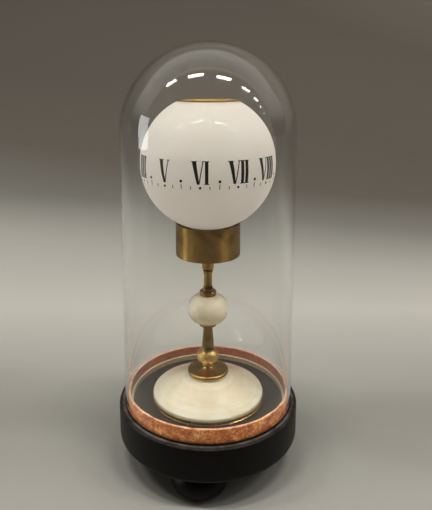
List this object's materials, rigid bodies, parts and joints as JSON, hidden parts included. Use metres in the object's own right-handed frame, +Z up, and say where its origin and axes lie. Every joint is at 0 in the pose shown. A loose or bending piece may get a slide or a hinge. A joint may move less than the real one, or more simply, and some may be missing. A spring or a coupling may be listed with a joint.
{
  "type": "night light clock",
  "caption": "Glass globe dial that turns once in twelve hours on a brass and onyx stand, lit from inside by a wax light, under a glass dome on a footed black wooden base.",
  "frame": {"origin": "on the floor, midway between the feet, on the axis of the base, dome and globe", "axes": "+Z up along the column, -Y towards the front of the picture, +X to the right of the picture"},
  "size_m": [0.1326, 0.1326, 0.3079],
  "materials": {
    "ebonised_wood": "worn black polish over fine grain",
    "seat_card": "faded olive card",
    "plush": "copper-coloured pile",
    "clear_glass": "clear blown glass",
    "onyx": "polished cream stone with soft banding",
    "aged_brass": "turned and lacquered, aged",
    "movement_brass": "grained brass",
    "polished_steel": "polished steel",
    "blued_steel": "blued steel",
    "opal_glass": "opaline glass, satin white",
    "wax": "plain wax",
    "wick": "cotton cord",
    "hour_paint": "fired black enamel of the hours"
  },
  "bodies": {
    "stand": {"wood_base": "ebonised_wood", "bun_feet": "ebonised_wood", "seat_ring": "seat_card", "plush_band": "plush", "foot_pan": "aged_brass", "onyx_foot": "onyx", "foot_cap": "aged_brass", "lower_column": "aged_brass", "onyx_ball": "onyx", "upper_column": "aged_brass", "drum_collar": "aged_brass", "tie_rod": "polished_steel", "tie_nuts": "movement_brass", "drum_case": "aged_brass", "movement_posts": "movement_brass", "movement_screws": "polished_steel", "lower_plate": "movement_brass", "upper_plate": "movement_brass", "plate_pillars": "movement_brass", "pillar_screws": "blued_steel", "table_bearing": "movement_brass", "click_screw": "blued_steel", "click_spring": "blued_steel", "pallet_cock": "movement_brass", "hairspring": "blued_steel", "hairspring_stud": "polished_steel"},
    "dome": {"glass_dome": "clear_glass"},
    "dial": {"hour_wheel": "movement_brass", "globe_table": "aged_brass", "globe": "opal_glass", "globe_rim": "aged_brass", "globe_clamp": "aged_brass", "lamp_cup": "aged_brass", "candle": "wax", "wick": "wick"},
    "minute": {"minute_wheel": "movement_brass"},
    "cannon": {"cannon_pinion": "polished_steel"},
    "winding": {"winding_arbor": "polished_steel", "ratchet_wheel": "polished_steel"},
    "click": {"click": "polished_steel"},
    "barrel": {"barrel": "movement_brass", "barrel_cover": "movement_brass", "mainspring": "blued_steel"},
    "centre": {"centre_wheel": "movement_brass", "centre_arbor": "polished_steel"},
    "third": {"third_wheel": "movement_brass", "third_arbor": "polished_steel"},
    "fourth": {"fourth_wheel": "movement_brass", "fourth_arbor": "polished_steel"},
    "escape": {"escape_wheel": "movement_brass", "escape_arbor": "polished_steel"},
    "lever": {"pallet_lever": "polished_steel"},
    "balance": {"balance_wheel": "movement_brass", "balance_staff": "polished_steel"}
  },
  "joints": [
    {"name": "dome_lift", "type": "slide", "parent": "stand", "child": "dome", "axis": [0, 0, 1], "range_m": [0, 0.24]},
    {"name": "globe_turn", "type": "hinge", "parent": "stand", "child": "dial", "pos_m": [0, 0, 0.1755], "axis": [0, 0, 1], "continuous": true},
    {"name": "minute_turn", "type": "hinge", "parent": "stand", "child": "minute", "pos_m": [0.009, 0, 0.1725], "axis": [0, 0, 1], "continuous": true},
    {"name": "cannon_turn", "type": "hinge", "parent": "stand", "child": "cannon", "pos_m": [0, 0, 0.1725], "axis": [0, 0, 1], "continuous": true},
    {"name": "winding_turn", "type": "hinge", "parent": "stand", "child": "winding", "pos_m": [0, 0.0098, 0.16], "axis": [0, 0, 1], "range_deg": [0, 2160], "deforming": ["mainspring"]},
    {"name": "click_lift", "type": "hinge", "parent": "stand", "child": "click", "pos_m": [0.00215, 0.01545, 0.16], "axis": [0, 0, 1], "range_deg": [-10, 0], "stiffness_Nm_per_rad": 0.001, "springref_deg": 5.73, "deforming": ["click_spring"]},
    {"name": "escape_turn", "type": "hinge", "parent": "stand", "child": "escape", "pos_m": [-0.00389, -0.00897, 0.1664], "axis": [0, 0, 1], "range_deg": [-12, 0]},
    {"name": "fourth_turn", "type": "hinge", "parent": "stand", "child": "fourth", "pos_m": [0.00122, -0.00711, 0.1664], "axis": [0, 0, 1], "range_deg": [0, 1.68]},
    {"name": "third_turn", "type": "hinge", "parent": "stand", "child": "third", "pos_m": [0.00624, -0.0036, 0.1664], "axis": [0, 0, 1], "range_deg": [-0.224, 0]},
    {"name": "centre_turn", "type": "hinge", "parent": "stand", "child": "centre", "pos_m": [0, 0, 0.1664], "axis": [0, 0, 1], "range_deg": [0, 0.028]},
    {"name": "barrel_turn", "type": "hinge", "parent": "stand", "child": "barrel", "pos_m": [0, 0.0098, 0.1664], "axis": [0, 0, 1], "range_deg": [-0.004667, 0]},
    {"name": "lever_rock", "type": "hinge", "parent": "stand", "child": "lever", "pos_m": [-0.00732, -0.00588, 0.1664], "axis": [0, 0, 1], "range_deg": [-8, 0]},
    {"name": "balance_swing", "type": "hinge", "parent": "stand", "child": "balance", "pos_m": [-0.01104, -0.00253, 0.1664], "axis": [0, 0, 1], "range_deg": [-300, 300], "stiffness_Nm_per_rad": 0.000004, "deforming": ["hairspring"]}
  ],
  "couplings": [
    {"joint": "minute_turn", "follows": "globe_turn", "ratio": -4},
    {"joint": "cannon_turn", "follows": "globe_turn", "ratio": 12},
    {"joint": "fourth_turn", "follows": "escape_turn", "ratio": -0.13333},
    {"joint": "third_turn", "follows": "escape_turn", "ratio": 0.017778},
    {"joint": "centre_turn", "follows": "escape_turn", "ratio": -0.0022222},
    {"joint": "barrel_turn", "follows": "escape_turn", "ratio": 0.00037037}
  ]
}
